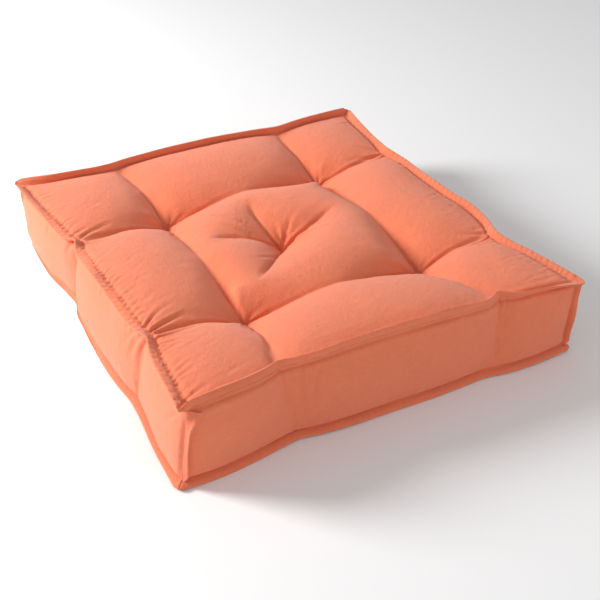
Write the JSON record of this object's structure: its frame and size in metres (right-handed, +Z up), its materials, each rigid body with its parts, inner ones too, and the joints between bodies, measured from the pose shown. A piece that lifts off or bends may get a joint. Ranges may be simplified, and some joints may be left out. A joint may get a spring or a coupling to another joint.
{
  "type": "floor cushion",
  "caption": "Square tufted box floor cushion: panelled fabric cover with outside seam allowances, fibre fill and through ties.",
  "frame": {"origin": "centre of the footprint, on the floor", "axes": "+X right along the front edge, +Y to the back, +Z up"},
  "size_m": [0.626, 0.626, 0.128],
  "materials": {
    "cover_fabric": "matte",
    "seam_thread": "matte",
    "tie_twine": "matte",
    "fibre_fill": "matte"
  },
  "bodies": {
    "root": {"top_panel": "cover_fabric", "bottom_panel": "cover_fabric", "front_band": "cover_fabric", "right_band": "cover_fabric", "back_band": "cover_fabric", "left_band": "cover_fabric", "fibre_fill": "fibre_fill", "centre_tie": "tie_twine", "front_left_tie": "tie_twine", "front_right_tie": "tie_twine", "back_right_tie": "tie_twine", "back_left_tie": "tie_twine", "top_seam_stitching": "seam_thread", "bottom_seam_stitching": "seam_thread", "front_left_corner_stitching": "seam_thread", "front_right_corner_stitching": "seam_thread", "back_right_corner_stitching": "seam_thread", "back_left_corner_stitching": "seam_thread"}
  },
  "joints": []
}
